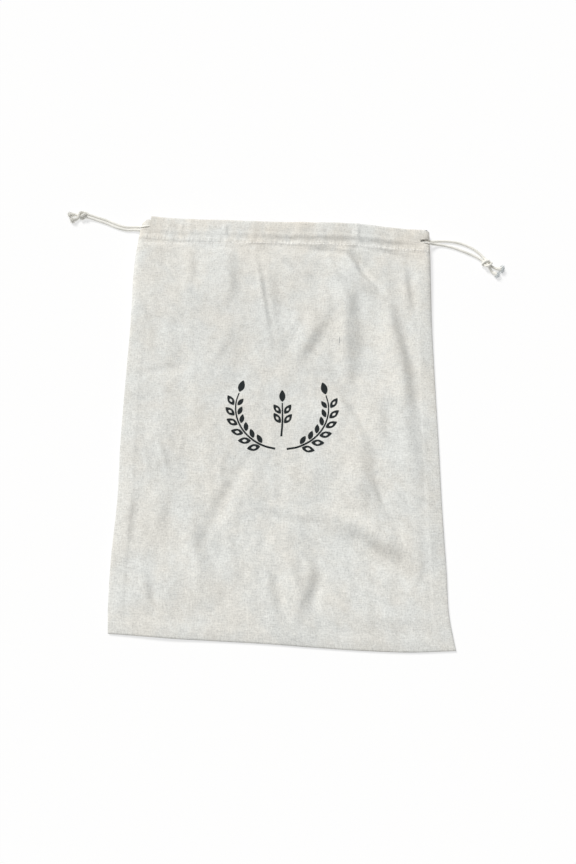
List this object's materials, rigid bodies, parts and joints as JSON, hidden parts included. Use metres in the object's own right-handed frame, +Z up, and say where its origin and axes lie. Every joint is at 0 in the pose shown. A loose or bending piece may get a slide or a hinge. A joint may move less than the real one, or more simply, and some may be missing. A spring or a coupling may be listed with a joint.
{
  "type": "drawstring bread bag",
  "caption": "Flat drawstring bag of undyed cotton and linen cloth with a turned casing, knotted drawcords and a printed motif.",
  "frame": {"origin": "on the surface it lies on, under the middle of the bag's outline", "axes": "+X across the bag to its right side, +Y to the mouth, +Z up, out of the front panel"},
  "size_m": [0.4342, 0.4118, 0.0162],
  "materials": {
    "cloth": "plain weave, undyed, soft and lightly creased",
    "cord": "twisted cotton cord, undyed"
  },
  "bodies": {
    "root": {"bag_cloth": "cloth", "cord_run_left": "cord", "cord_run_right": "cord", "cord_left_front": "cord", "cord_left_back": "cord", "cord_right_front": "cord", "cord_right_back": "cord", "knot_left": "cord", "knot_right": "cord"}
  },
  "joints": []
}
